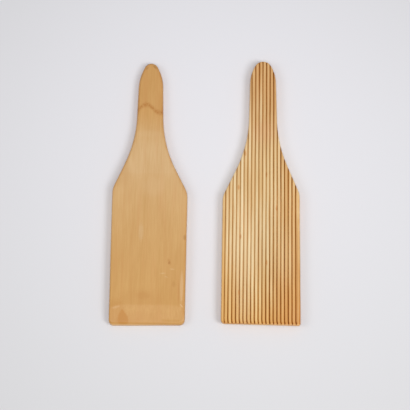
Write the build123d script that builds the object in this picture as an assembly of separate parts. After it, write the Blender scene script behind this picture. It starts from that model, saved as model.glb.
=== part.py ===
from build123d import *

import math
import os
from dataclasses import dataclass

# A matched pair of butter paddles, laid side by side on a table. Each is one board of wood: a flat
# blade, sloping shoulders, a long neck and a round-ended handle. One face is reeded from the blade's
# tip right out through the handle's end, to roll and shape butter. The other face, the back, is
# smooth, bevelled at the tip and thinned towards the handle's end.
#
# Each paddle is made lying on its back, with its tip at y = 0, the handle towards +Y, the blade's
# centre line on x = 0 and the ridge crowns at z = BOARD_THICKNESS. One is then turned over.
# All sizes are in millimetres, and all angles in degrees.

# Board and reeding, alike on both paddles
BOARD_THICKNESS = 9.0  # from the flat of the back to the ridge crowns
GROOVE_COUNT = 20  # across the blade
GROOVE_PITCH = 3.2
GROOVE_DEPTH = 1.6
GROOVE_FLOOR = 0.3  # the flat at the bottom of each groove
CROWN_RADIUS = 1.25  # of the round top of each ridge
GROOVE_SHIFT = 0.45  # of the middle of the reeding, to the left of the blade's centre line

# Outline, alike on both paddles
SHOULDER_RADIUS = 16.0  # where the blade's edge turns into the shoulder
HANDLE_OFFSET = 1.5  # of the handle's centre line, to the right of the blade's
HANDLE_TAPER = 1.3  # of each side of the handle, inwards towards its end
TIP_SLANT = 1.0  # how much shorter the blade's left edge is than its right one

# Back, alike on both paddles
TIP_BEVEL_LENGTH = 17.0
TIP_THICKNESS = 6.8
HANDLE_RELIEF_LENGTH = 69.0  # of the thinned stretch, from the handle's end
HANDLE_END_THICKNESS = 7.0
RIDGED_RIM_ROUNDING = 0.9
BACK_RIM_ROUNDING = 1.5

# The paddle that lies with its ridges up
RIDGED_UP_LENGTH = 239.6
RIDGED_UP_TIP_WIDTH = 67.4
RIDGED_UP_SHOULDER_WIDTH = 66.7
RIDGED_UP_LEFT_SHOULDER = 113.2  # from the tip to the corner of the blade and the shoulder
RIDGED_UP_RIGHT_SHOULDER = 116.4
RIDGED_UP_LEFT_NECK = 160.6  # from the tip to where the shoulder's line would meet the handle
RIDGED_UP_RIGHT_NECK = 162.4
RIDGED_UP_NECK_RADIUS = 120.0
RIDGED_UP_HANDLE_WIDTH = 22.9  # where its rounded end begins
RIDGED_UP_END_LENGTH = 20.8  # of the handle's rounded end
RIDGED_UP_END_RADIUS = 7.9  # at the very end
RIDGED_UP_LEFT_CORNER = 3.0
RIDGED_UP_RIGHT_CORNER = 1.6

# The paddle that lies on its ridges, seen here before it is turned over
SMOOTH_UP_LENGTH = 238.8
SMOOTH_UP_TIP_WIDTH = 64.2
SMOOTH_UP_SHOULDER_WIDTH = 65.1
SMOOTH_UP_LEFT_SHOULDER = 117.3
SMOOTH_UP_RIGHT_SHOULDER = 120.2
SMOOTH_UP_LEFT_NECK = 161.2
SMOOTH_UP_RIGHT_NECK = 164.9
SMOOTH_UP_NECK_RADIUS = 120.0
SMOOTH_UP_HANDLE_WIDTH = 21.6
SMOOTH_UP_END_LENGTH = 23.2
SMOOTH_UP_END_RADIUS = 6.1
SMOOTH_UP_LEFT_CORNER = 4.3
SMOOTH_UP_RIGHT_CORNER = 3.4

# A facet pared off the back's left edge near the tip, on the paddle that lies on its ridges
FACET_LENGTH = 54.0  # from the tip to where the facet runs out
FACET_WIDTH = 4.6  # at the tip
FACET_DEPTH = 1.3  # at the tip

# How the pair lies
BLADE_SPACING = 96.7  # between the blades' centre lines
TIP_STAGGER = 1.2  # how much further the smooth paddle's tip reaches than the ridged one's

CUT_CLEARANCE = 5.0  # how far the reeding cutter runs past the board


@dataclass(frozen=True)
class Outline:
    """The sizes of one paddle's outline."""

    length: float
    tip_width: float
    shoulder_width: float
    left_shoulder: float
    right_shoulder: float
    left_neck: float
    right_neck: float
    neck_radius: float
    handle_width: float
    end_length: float
    end_radius: float
    left_corner: float
    right_corner: float


RIDGED_UP = Outline(
    RIDGED_UP_LENGTH,
    RIDGED_UP_TIP_WIDTH,
    RIDGED_UP_SHOULDER_WIDTH,
    RIDGED_UP_LEFT_SHOULDER,
    RIDGED_UP_RIGHT_SHOULDER,
    RIDGED_UP_LEFT_NECK,
    RIDGED_UP_RIGHT_NECK,
    RIDGED_UP_NECK_RADIUS,
    RIDGED_UP_HANDLE_WIDTH,
    RIDGED_UP_END_LENGTH,
    RIDGED_UP_END_RADIUS,
    RIDGED_UP_LEFT_CORNER,
    RIDGED_UP_RIGHT_CORNER,
)
SMOOTH_UP = Outline(
    SMOOTH_UP_LENGTH,
    SMOOTH_UP_TIP_WIDTH,
    SMOOTH_UP_SHOULDER_WIDTH,
    SMOOTH_UP_LEFT_SHOULDER,
    SMOOTH_UP_RIGHT_SHOULDER,
    SMOOTH_UP_LEFT_NECK,
    SMOOTH_UP_RIGHT_NECK,
    SMOOTH_UP_NECK_RADIUS,
    SMOOTH_UP_HANDLE_WIDTH,
    SMOOTH_UP_END_LENGTH,
    SMOOTH_UP_END_RADIUS,
    SMOOTH_UP_LEFT_CORNER,
    SMOOTH_UP_RIGHT_CORNER,
)


def handle_edge(size, side, y):
    """The point at y on the handle's tapered edge, side -1 for the left or 1 for the right."""
    below_end = size.length - size.end_length - y
    half_width = size.handle_width / 2 + below_end * math.tan(math.radians(HANDLE_TAPER))
    return (HANDLE_OFFSET + side * half_width, y)


def left_points(size):
    """The corners of the left edge, from where the handle's end begins down to the tip."""
    return [
        handle_edge(size, -1, size.length - size.end_length),
        handle_edge(size, -1, size.left_neck),
        (-size.shoulder_width / 2, size.left_shoulder),
        (-size.tip_width / 2, TIP_SLANT),
    ]


def right_points(size):
    """The corners of the right edge, from the tip up to where the handle's end begins."""
    return [
        (size.tip_width / 2, 0),
        (size.shoulder_width / 2, size.right_shoulder),
        handle_edge(size, 1, size.right_neck),
        handle_edge(size, 1, size.length - size.end_length),
    ]


def handle_end(size, start):
    """The handle's rounded end: three tangent arcs that carry on from the handle's right edge."""
    half = size.handle_width / 2
    rise = size.end_length - size.end_radius
    lean = math.radians(HANDLE_TAPER)
    room = half * math.cos(lean) - rise * math.sin(lean) - size.end_radius
    side_radius = (rise**2 + half**2 - size.end_radius**2) / (2 * room)
    to_middle = (side_radius * math.cos(lean) - half, rise + side_radius * math.sin(lean))
    turn = math.degrees(math.atan2(to_middle[1], to_middle[0])) - HANDLE_TAPER
    right = JernArc(start, (-math.sin(lean), math.cos(lean)), side_radius, turn)
    middle = JernArc(right @ 1, right % 1, size.end_radius, 180 - 2 * (turn + HANDLE_TAPER))
    left = JernArc(middle @ 1, middle % 1, side_radius, turn)
    return right + middle + left


def outline_face(size):
    """The paddle's outline as a face in the XY plane."""
    right = right_points(size)
    sides = FilletPolyline(
        *left_points(size),
        *right,
        radius=[
            size.neck_radius,
            SHOULDER_RADIUS,
            size.left_corner,
            size.right_corner,
            SHOULDER_RADIUS,
            size.neck_radius,
        ],
    )
    return make_face(sides + handle_end(size, right[-1]))


def planed(board, *points):
    """The board without what lies behind the plane through three points."""
    first, second, third = (Vector(*point) for point in points)
    normal = (second - first).cross(third - first)
    keep = Keep.TOP if normal.Z > 0 else Keep.BOTTOM
    return split(board, bisect_by=Plane(first, z_dir=normal), keep=keep)


def shaped_back(board, size):
    """The board with its back bevelled at the tip and thinned towards the handle's end."""
    relief_y = size.length - HANDLE_RELIEF_LENGTH
    tip_z = BOARD_THICKNESS - TIP_THICKNESS
    end_z = BOARD_THICKNESS - HANDLE_END_THICKNESS
    board = planed(board, (0, TIP_BEVEL_LENGTH, 0), (1, TIP_BEVEL_LENGTH, 0), (0, 0, tip_z))
    return planed(board, (0, relief_y, 0), (1, relief_y, 0), (0, size.length, end_z))


def pared_edge(board, size):
    """The board with a long facet pared off the back's left edge, widest at the tip."""
    edge_x = -size.tip_width / 2
    runs_out = (edge_x, FACET_LENGTH, 0)
    return planed(board, runs_out, (edge_x + FACET_WIDTH, 0, 0), (edge_x, 0, FACET_DEPTH))


def reeding_cutter(size):
    """Everything above the reeded face: a row of grooves with round ridge crowns between them."""
    top = BOARD_THICKNESS
    floor = top - GROOVE_DEPTH
    half_ridge = (GROOVE_PITCH - GROOVE_FLOOR) / 2
    crown_z = top - CROWN_RADIUS
    # The flank runs from the groove's floor to the crown, and meets the crown at a tangent.
    reach = math.hypot(half_ridge, crown_z - floor)
    tangent = math.acos(CROWN_RADIUS / reach) - math.atan2(crown_z - floor, half_ridge)
    flank_x = CROWN_RADIUS * math.cos(tangent)
    flank_z = crown_z + CROWN_RADIUS * math.sin(tangent)

    first = -GROOVE_SHIFT - (GROOVE_COUNT - 1) / 2 * GROOVE_PITCH
    edges = []
    for index in range(GROOVE_COUNT):
        left = first + (index - 0.5) * GROOVE_PITCH  # the middle of the ridge before this groove
        right = left + GROOVE_PITCH
        edges += [
            RadiusArc((left, top), (left + flank_x, flank_z), CROWN_RADIUS),
            Line((left + flank_x, flank_z), (left + half_ridge, floor)),
            Line((left + half_ridge, floor), (right - half_ridge, floor)),
            Line((right - half_ridge, floor), (right - flank_x, flank_z)),
            RadiusArc((right - flank_x, flank_z), (right, top), CROWN_RADIUS),
        ]
    start = first - GROOVE_PITCH / 2
    end = start + GROOVE_COUNT * GROOVE_PITCH
    above = top + CUT_CLEARANCE
    edges.append(Polyline((end, top), (end, above), (start, above), (start, top)))
    profile = Plane.XZ.offset(CUT_CLEARANCE) * make_face(Curve() + edges)
    return extrude(profile, -(size.length + 2 * CUT_CLEARANCE))


def rim(board, direction):
    """The outer edges of the board's upper side, with direction 1, or of its lower side, with -1."""
    edges = []
    for face in board.faces():
        normal = face.normal_at()
        if normal.Z * direction > math.hypot(normal.X, normal.Y):
            edges += face.edges()
    # A fold between two faces of that side comes up twice, and stays as it is.
    return [edge for edge in edges if sum(edge.is_same(other) for other in edges) == 1]


def paddle(size):
    """One paddle, lying on its back."""
    board = shaped_back(extrude(outline_face(size), BOARD_THICKNESS), size)
    board = fillet(rim(board, 1), RIDGED_RIM_ROUNDING)
    board = fillet(rim(board, -1), BACK_RIM_ROUNDING)
    return board - reeding_cutter(size)


def main():
    """Builds both paddles, lays them on the table and writes one file for each."""
    ridged_up = Pos(BLADE_SPACING / 2, TIP_STAGGER) * paddle(RIDGED_UP)
    turned_over = Rot(Y=180) * pared_edge(paddle(SMOOTH_UP), SMOOTH_UP)
    smooth_up = Pos(-BLADE_SPACING / 2, 0, BOARD_THICKNESS) * turned_over

    # The origin is on the table, under the middle of the box round both paddles.
    box = Compound([ridged_up, smooth_up]).bounding_box()
    to_origin = Pos(-box.center().X, -box.center().Y, -box.min.Z)

    os.makedirs("parts", exist_ok=True)
    export_step(to_origin * ridged_up, "parts/ridged_side_up_paddle.step")
    export_step(to_origin * smooth_up, "parts/smooth_side_up_paddle.step")
    print("origin moved by", to_origin.position)


main()
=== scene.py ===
"""A matched pair of butter paddles on a studio table, seen from above the tips of their blades.

Each paddle is one board of pale wood: a flat blade, sloping shoulders, a neck and a handle with a round end.
One face is reeded from tip to handle end and the other is smooth. The left paddle lies on its ridges and the
right one on its back. A paddle is shaped in its own frame, in millimetres, lying on its back, with the tip at
y = 0, the handle towards +Y and the crowns on top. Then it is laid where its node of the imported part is.
"""

import logging
import math
from dataclasses import dataclass
from enum import Enum

import bmesh
import bpy
import numpy as np
from mathutils import Matrix, Vector, noise

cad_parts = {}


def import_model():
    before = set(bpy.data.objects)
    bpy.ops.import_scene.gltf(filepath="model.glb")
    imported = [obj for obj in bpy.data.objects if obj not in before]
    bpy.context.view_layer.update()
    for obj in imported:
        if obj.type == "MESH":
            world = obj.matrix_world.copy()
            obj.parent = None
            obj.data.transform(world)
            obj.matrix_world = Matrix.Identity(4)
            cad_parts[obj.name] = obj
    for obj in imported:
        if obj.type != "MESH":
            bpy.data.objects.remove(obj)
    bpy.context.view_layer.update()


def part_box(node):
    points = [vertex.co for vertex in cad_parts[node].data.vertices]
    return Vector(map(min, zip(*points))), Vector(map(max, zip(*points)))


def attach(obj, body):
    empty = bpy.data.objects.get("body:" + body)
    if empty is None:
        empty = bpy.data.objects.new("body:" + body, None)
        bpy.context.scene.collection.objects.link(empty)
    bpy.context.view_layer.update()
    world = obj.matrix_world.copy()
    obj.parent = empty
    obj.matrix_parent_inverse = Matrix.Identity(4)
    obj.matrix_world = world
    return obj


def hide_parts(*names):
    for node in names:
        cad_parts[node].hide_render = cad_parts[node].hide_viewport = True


log = logging.getLogger("butter_paddles")

MM = 0.001  # metres in a millimetre
BODY = "root"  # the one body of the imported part, which both paddles ride on
CROWNS = 9.0  # millimetres from a board's back to its ridge crowns
GROOVE_BOTTOMS = 7.4  # and to the bottoms of its grooves

Socket = bpy.types.NodeSocket
Value = Socket | float | tuple[float, ...]
Colour = tuple[float, float, float, float]

WHITE: Colour = (1.0, 1.0, 1.0, 1.0)


class Lying(Enum):
    """Which way up a paddle lies on the table."""

    RIDGES_UP = "ridges up"
    RIDGES_DOWN = "ridges down"


class Axis(Enum):
    """The axis that a row of cuts through a mesh is square to."""

    X = 0
    Y = 1


class Edge(Enum):
    """The stretch of a board's side that a row of points belongs to."""

    BACK = "rounded edge of the back"
    WALL = "wall between the two faces"
    REEDED = "rounded edge of the reeded face"


class Layer(Enum):
    """The layer of a paddle's noise that moves each thing, so that no two of them stray alike."""

    GROOVE_WANDER = 0.0
    GROOVE_DEPTH = 2.0
    OUTLINE_ACROSS = 5.0
    BACK = 7.0
    OUTLINE_ALONG = 9.0


@dataclass(frozen=True)
class Level:
    """A row of points round a board's side."""

    edge: Edge
    inset: float  # the share of the edge's radius that the row lies inside the outline
    rise: float  # how far up the edge or the wall the row is, from 0 to 1


def paint(red: int, green: int, blue: int) -> Colour:
    """The colour that a picture shows as these levels.

    Args:
        red: The red level, from 0 to 255.
        green: The green level, from 0 to 255.
        blue: The blue level, from 0 to 255.

    Returns:
        The linear colour with full opacity, as Blender's sockets hold it.
    """
    full_level = 255
    toe, slope, offset, power = 0.04045, 12.92, 0.055, 2.4
    linear = []
    for level in (red, green, blue):
        share = level / full_level
        linear.append(share / slope if share <= toe else ((share + offset) / (1 + offset)) ** power)
    return (*linear, 1.0)


def soft_positive(value: float, softness: float) -> float:
    """The value where it is positive and nothing where it isn't, with the fold between them rounded.

    Args:
        value: The height of a cut above the uncut face.
        softness: How far the fold's rounding lifts the face, doubled.

    Returns:
        The height of the rounded cut.
    """
    return (value + math.hypot(value, softness)) / 2


def arc(centre: Vector, radius: float, start: float, sweep: float, step: float) -> list[Vector]:
    """Points along an arc, with both of its ends.

    Args:
        centre: The arc's centre.
        radius: Its radius.
        start: The angle where it starts, in radians.
        sweep: How far it turns, anticlockwise if positive, in radians.
        step: The most that two points may be apart.

    Returns:
        The points, in order.
    """
    fewest = 4
    count = max(fewest, math.ceil(abs(sweep) * radius / step))
    turns = [start + sweep * index / count for index in range(count + 1)]
    return [centre + Vector((math.cos(turn), math.sin(turn))) * radius for turn in turns]


def rounded_corner(before: Vector, corner: Vector, after: Vector, radius: float, step: float) -> list[Vector]:
    """Points along the arc that rounds a corner.

    Args:
        before: A point on the run that comes to the corner.
        corner: The corner.
        after: A point on the run that leaves it.
        radius: The radius of the rounding.
        step: The most that two points may be apart.

    Returns:
        The points, from the first run to the second.
    """
    back, on = (before - corner).normalized(), (after - corner).normalized()
    half = back.angle(on) / 2
    centre = corner + (back + on).normalized() * (radius / math.sin(half))
    first = corner + back * (radius / math.tan(half)) - centre
    last = corner + on * (radius / math.tan(half)) - centre
    start = math.atan2(first.y, first.x)
    sweep = (math.atan2(last.y, last.x) - start + math.pi) % math.tau - math.pi
    return arc(centre, radius, start, sweep, step)


@dataclass(frozen=True)
class Outline:
    """One paddle's outline, in millimetres and degrees. Shoulders and necks are counted from the tip."""

    length: float
    tip_width: float
    shoulder_width: float
    left_shoulder: float
    right_shoulder: float
    left_neck: float
    right_neck: float
    neck_radius: float
    handle_width: float
    end_length: float
    end_radius: float
    left_corner: float
    right_corner: float
    shoulder_radius: float = 16.0
    handle_offset: float = 1.5
    handle_taper: float = 1.3
    tip_slant: float = 1.0
    step: float = 2.0

    def handle_edge(self, side: int, y: float) -> Vector:
        """The point at y on one of the handle's tapered edges.

        Args:
            side: -1 for the left edge and 1 for the right.
            y: The distance from the tip.

        Returns:
            The point.
        """
        below_end = self.length - self.end_length - y
        half_width = self.handle_width / 2 + below_end * math.tan(math.radians(self.handle_taper))
        return Vector((self.handle_offset + side * half_width, y))

    def sides(self) -> list[Vector]:
        """Rounds both necks, both shoulders and the tip's corners.

        Returns:
            Points from the left of the handle's end, down and round the blade, to the right of it.
        """
        end_y = self.length - self.end_length
        corners = [
            (self.handle_edge(-1, self.left_neck), self.neck_radius),
            (Vector((-self.shoulder_width / 2, self.left_shoulder)), self.shoulder_radius),
            (Vector((-self.tip_width / 2, self.tip_slant)), self.left_corner),
            (Vector((self.tip_width / 2, 0.0)), self.right_corner),
            (Vector((self.shoulder_width / 2, self.right_shoulder)), self.shoulder_radius),
            (self.handle_edge(1, self.right_neck), self.neck_radius),
        ]
        stops = [self.handle_edge(-1, end_y), *(corner for corner, _ in corners), self.handle_edge(1, end_y)]
        points = []
        for index, (corner, radius) in enumerate(corners):
            step = min(self.step, radius / 2)
            points += rounded_corner(stops[index], corner, stops[index + 2], radius, step)
        return points

    def handle_end(self) -> list[Vector]:
        """Rounds the handle's end with three tangent arcs.

        Returns:
            Points from its right edge over to its left.
        """
        half = self.handle_width / 2
        rise = self.end_length - self.end_radius
        lean = math.radians(self.handle_taper)
        room = half * math.cos(lean) - rise * math.sin(lean) - self.end_radius
        side_radius = (rise**2 + half**2 - self.end_radius**2) / (2 * room)
        turn = math.atan2(rise + side_radius * math.sin(lean), side_radius * math.cos(lean) - half) - lean
        start = self.handle_edge(1, self.length - self.end_length)
        across = Vector((math.cos(lean), math.sin(lean))) * side_radius
        middle = Vector((self.handle_offset, self.length - self.end_radius))
        right = arc(start - across, side_radius, lean, turn, self.step)
        top = arc(middle, self.end_radius, lean + turn, math.pi - 2 * (lean + turn), self.step)
        left = [Vector((2 * self.handle_offset - point.x, point.y)) for point in reversed(right)]
        return right + top[1:-1] + left

    def points(self) -> list[Vector]:
        """The closed outline, anticlockwise. Straight runs have no points but their ends."""
        return self.sides() + self.handle_end()


@dataclass(frozen=True)
class Board:
    """What the two paddles share through their thickness, in millimetres."""

    thickness: float = 9.0
    bevel_length: float = 17.0
    bevel_softness: float = 0.05
    bevel_droop: float = 3.4  # how much nearer the tip the bevel's line is at the blade's edges
    bevel_droop_power: float = 7.0
    tip_thickness: float = 6.8
    relief_length: float = 69.0
    relief_softness: float = 0.12
    handle_end_thickness: float = 7.0
    reeded_rim: float = 0.9
    blade_rim: float = 1.2
    tip_rim: float = 2.6  # the back's edge is worn rounder at the tip
    tip_rim_reach: float = 6.0
    handle_rim: float = 2.1
    rim_steps: int = 6
    reeded_band: float = 2.6  # how far below the crowns the board's side takes the ends of the grooves
    wall_rows: int = 3
    wall_bulge: float = 0.14
    rubbed_rim: float = 2.5  # how far inside the outline hands rub the rim
    back_waves: float = 0.05  # the height of what the hand plane left on the back
    back_wave_width: float = 14.0
    back_wave_length: float = 40.0
    edge_waves: float = 0.11  # how far the outline strays
    edge_wave_length: float = 24.0
    edge_wave_reach: float = 60.0  # how far into the board an edge's straying is felt
    row_pitch: float = 2.0
    bevel_row_pitch: float = 0.5
    bevel_row_margin: float = 1.0  # before and after the bevel's line that its closer rows lie
    back_pitch: float = 2.2

    def back_lift(self, x: float, y: float, outline: Outline) -> float:
        """How much of the back is cut away at a point, for the bevel and the handle's relief.

        Args:
            x: The point's distance from the blade's centre line.
            y: Its distance from the tip.
            outline: The paddle's outline.

        Returns:
            The depth of the cut.
        """
        across = min(1.0, abs(x) / (outline.tip_width / 2))
        bevel_y = self.bevel_length - self.bevel_droop * across**self.bevel_droop_power
        bevel = (bevel_y - y) * (self.thickness - self.tip_thickness) / self.bevel_length
        relief = y - outline.length + self.relief_length
        relief *= (self.thickness - self.handle_end_thickness) / self.relief_length
        return soft_positive(bevel, self.bevel_softness) + soft_positive(relief, self.relief_softness)

    def back_rim(self, y: float, outline: Outline) -> float:
        """The radius of the back's edge: small on the blade, and larger at the tip and where the hand closes.

        Args:
            y: The distance from the tip.
            outline: The paddle's outline.

        Returns:
            The radius.
        """
        low, high = outline.left_shoulder, outline.left_neck
        share = min(1.0, max(0.0, (y - low) / (high - low)))
        worn = max(0.0, 1 - y / self.tip_rim_reach) ** 2
        radius = self.blade_rim + (self.handle_rim - self.blade_rim) * share
        return radius + (self.tip_rim - self.blade_rim) * worn


@dataclass(frozen=True)
class Reeding:
    """The grooves along one face, in millimetres and degrees."""

    count: int = 20
    pitch: float = 3.2
    depth: float = 1.6
    floor: float = 0.3
    left_fullness: float = 2.4  # 2 makes a ridge oval, and more gives it a flatter crown and a steeper side
    right_fullness: float = 3.2
    shift: float = 0.45  # of the reeding's middle, to the left of the blade's centre line
    crown_steps: int = 6  # facets on each side of a ridge
    lean: float = 0.16  # of the grooves, to the right of the blade's centre line
    tip_shift: float = 0.5  # how far left the lean starts
    wander: float = 0.09  # how far a groove strays sideways
    wander_length: float = 55.0
    depth_change: float = 0.12  # the share of its depth that a groove gains or loses
    depth_length: float = 38.0

    def half_ridge(self) -> float:
        """Half the width of a ridge at its foot."""
        return (self.pitch - self.floor) / 2

    def folds(self) -> list[float]:
        """Finds every line along which the reeding turns.

        Returns:
            The lines' places across the blade, in order.
        """
        quarter = math.pi / 2 / self.crown_steps
        sines = [math.sin(step * quarter) for step in range(1, self.crown_steps + 1)]
        left = [-self.half_ridge() * sine ** (2 / self.left_fullness) for sine in sines]
        right = [self.half_ridge() * sine ** (2 / self.right_fullness) for sine in sines]
        places = []
        last = self.count // 2
        for ridge in range(-last, last + 1):
            middle = ridge * self.pitch - self.shift
            places.append(middle)
            places += [middle + offset for offset in right if ridge < last]
            places += [middle + offset for offset in left if ridge > -last]
        return sorted(places)

    def drop(self, x: float) -> float:
        """How far the reeded face lies below its crowns.

        Args:
            x: The distance from the blade's centre line.

        Returns:
            The depth, which is none outside the first and last crowns.
        """
        place = (x + self.shift) / self.pitch
        if abs(place) >= self.count // 2:
            return 0.0
        fullness = self.right_fullness if place > round(place) else self.left_fullness
        beside = min(1.0, abs(place - round(place)) * self.pitch / self.half_ridge())
        return self.depth * (1 - (1 - beside**fullness) ** (1 / fullness))

    def stray(self, y: float) -> float:
        """How far right the lean takes a groove at y."""
        return y * math.tan(math.radians(self.lean)) - self.tip_shift


@dataclass(frozen=True)
class Facet:
    """A long facet pared off one edge of the back, widest at the tip, in millimetres."""

    length: float = 54.0
    width: float = 4.6
    depth: float = 1.3

    def lift(self, x: float, y: float, edge_x: float) -> float:
        """The depth of the facet at a point, negative outside it.

        Args:
            x: The point's distance from the blade's centre line.
            y: Its distance from the tip.
            edge_x: Where the pared edge is.

        Returns:
            The depth.
        """
        return self.depth * (1 - (x - edge_x) / self.width - y / self.length)

    def crease(self, edge_x: float) -> tuple[Vector, Vector]:
        """A point of the facet's crease, and the direction square to it in the face."""
        return Vector((edge_x, self.length, 0.0)), Vector((self.length, self.width, 0.0)).normalized()


@dataclass(frozen=True)
class EdgeGroove:
    """A last groove beside the blade's right edge, shallow and soon run out, in millimetres."""

    x: float = 33.0
    half_width: float = 0.5
    depth: float = 0.4
    length: float = 90.0

    FOLDS = (-1.0, -0.6, -0.3, 0.0, 0.3, 0.6, 1.0)  # shares of its half width

    def folds(self) -> list[float]:
        """The places across the blade along which it turns."""
        return [self.x + share * self.half_width for share in self.FOLDS]

    def drop(self, x: float, y: float) -> float:
        """How deep it is at a point."""
        beside = min(1.0, abs(x - self.x) / self.half_width)
        return self.depth * max(0.0, 1 - y / self.length) * (1 - beside**2)


class Graph:
    """The nodes of one material or node group, added and joined in a line each."""

    COLOUR_A, COLOUR_B, COLOUR_RESULT = 6, 7, 2  # the Mix node's sockets for colours

    def __init__(self, tree: bpy.types.NodeTree) -> None:
        """Takes the node tree to add to."""
        self.tree = tree

    def feed(self, socket: Socket, value: Value) -> None:
        """Links a socket to another, or gives it a plain value.

        Args:
            socket: The socket to feed.
            value: The socket or value that it gets.
        """
        if isinstance(value, Socket):
            self.tree.links.new(value, socket)
        else:
            socket.default_value = value

    def add(
        self, kind: str, inputs: dict[str | int, Value] | None = None, **settings: object
    ) -> bpy.types.Node:
        """Adds a node.

        Args:
            kind: Its Blender type.
            inputs: What its input sockets get, by name or place.
            **settings: Its own properties.

        Returns:
            The node.
        """
        node = self.tree.nodes.new(kind)
        for name, value in settings.items():
            setattr(node, name, value)
        for key, value in (inputs or {}).items():
            self.feed(node.inputs[key], value)
        return node

    def place(self, group: bpy.types.NodeTree, inputs: dict[str, Value]) -> dict[str, Socket]:
        """Adds a node group with its own values.

        Args:
            group: The group.
            inputs: What its inputs get, by name.

        Returns:
            Its outputs, by name.
        """
        node = self.tree.nodes.new("ShaderNodeGroup")
        node.node_tree = group
        for name, value in inputs.items():
            self.feed(node.inputs[name], value)
        return {socket.name: socket for socket in node.outputs}

    def maths(self, operation: str, *values: Value, clamp: bool = False) -> Socket:
        """The result of a sum on numbers."""
        node = self.add("ShaderNodeMath", dict(enumerate(values)), operation=operation, use_clamp=clamp)
        return node.outputs[0]

    def vector_maths(self, operation: str, *values: Value) -> Socket:
        """The result of a sum on vectors."""
        return self.add("ShaderNodeVectorMath", dict(enumerate(values)), operation=operation).outputs[0]

    def length(self, vector: Value) -> Socket:
        """How long a vector is."""
        return self.add("ShaderNodeVectorMath", {0: vector}, operation="LENGTH").outputs["Value"]

    def split(self, vector: Value) -> tuple[Socket, Socket, Socket]:
        """A vector's three numbers."""
        node = self.add("ShaderNodeSeparateXYZ", {0: vector})
        return node.outputs[0], node.outputs[1], node.outputs[2]

    def blend(self, share: Value, first: Value, second: Value, mode: str = "MIX") -> Socket:
        """Turns one colour towards another.

        Args:
            share: How far it turns.
            first: The colour to turn.
            second: The colour that it turns towards, or that it is tinted with.
            mode: How they mix, in Blender's words.

        Returns:
            The mixed colour.
        """
        sockets = {0: share, self.COLOUR_A: first, self.COLOUR_B: second}
        node = self.add("ShaderNodeMix", sockets, data_type="RGBA", blend_type=mode)
        return node.outputs[self.COLOUR_RESULT]

    def remap(
        self, value: Value, low: Value, high: Value, to_low: Value = 0.0, to_high: Value = 1.0
    ) -> Socket:
        """A number carried from one range to another with soft ends, and held inside it."""
        inputs = {"Value": value, "From Min": low, "From Max": high, "To Min": to_low, "To Max": to_high}
        return self.add("ShaderNodeMapRange", inputs, interpolation_type="SMOOTHSTEP").outputs["Result"]

    def noise(self, vector: Value, scale: Value, detail: float = 2.0, roughness: float = 0.5) -> Socket:
        """Noise from 0 to 1 with a scale of features to the unit."""
        inputs = {"Vector": vector, "Scale": scale, "Detail": detail, "Roughness": roughness}
        return self.add("ShaderNodeTexNoise", inputs).outputs[0]


@dataclass(frozen=True)
class Texture:
    """Noise on a board, drawn out along it."""

    width: float  # of its features, in millimetres
    stretch: float = 1.0  # how many times longer than wide they are
    detail: float = 3.0
    roughness: float = 0.5
    low: float = 0.3  # the noise at which a mask of it starts
    high: float = 0.7  # and at which the mask is full
    least: float = 0.0  # what the mask gives before it starts

    def draw_out(self, graph: Graph, board: Socket) -> Socket:
        """The place on the board, stretched along it."""
        return graph.vector_maths("MULTIPLY", board, (1.0, 1 / self.stretch, 1.0))

    def draw(self, graph: Graph, board: Socket, scale: Value | None = None) -> Socket:
        """Adds the noise.

        Args:
            graph: The nodes to add it to.
            board: The place on the board.
            scale: Features to the metre, if they aren't as wide as the texture says.

        Returns:
            The noise, from 0 to 1.
        """
        scale = 1 / (self.width * MM) if scale is None else scale
        return graph.noise(self.draw_out(graph, board), scale, self.detail, self.roughness)

    def mask(self, graph: Graph, board: Socket, most: Value = 1.0, scale: Value | None = None) -> Socket:
        """Adds the noise, with its middle range stretched out to a mask.

        Args:
            graph: The nodes to add it to.
            board: The place on the board.
            most: What the mask gives where it is full.
            scale: Features to the metre, if they aren't as wide as the texture says.

        Returns:
            The mask.
        """
        return graph.remap(self.draw(graph, board, scale), self.low, self.high, self.least, most)


class NodeGroup:
    """A shader node group under construction, with named inputs and outputs."""

    KINDS = {"number": "NodeSocketFloat", "vector": "NodeSocketVector"}

    def __init__(self, name: str, inputs: dict[str, str], outputs: tuple[str, ...]) -> None:
        """Makes the group.

        Args:
            name: What the group is called.
            inputs: The kind of each input, number or vector.
            outputs: The names of its outputs, which are numbers.
        """
        self.tree = bpy.data.node_groups.new(name, "ShaderNodeTree")
        for label, kind in inputs.items():
            self.tree.interface.new_socket(name=label, in_out="INPUT", socket_type=self.KINDS[kind])
        for label in outputs:
            self.tree.interface.new_socket(name=label, in_out="OUTPUT", socket_type="NodeSocketFloat")
        self.graph = Graph(self.tree)
        self.source = self.graph.add("NodeGroupInput").outputs
        self.result = self.graph.add("NodeGroupOutput").inputs

    def give(self, label: str, value: Socket) -> None:
        """Joins a number to one of the group's outputs."""
        self.tree.links.new(value, self.result[label])


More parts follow.
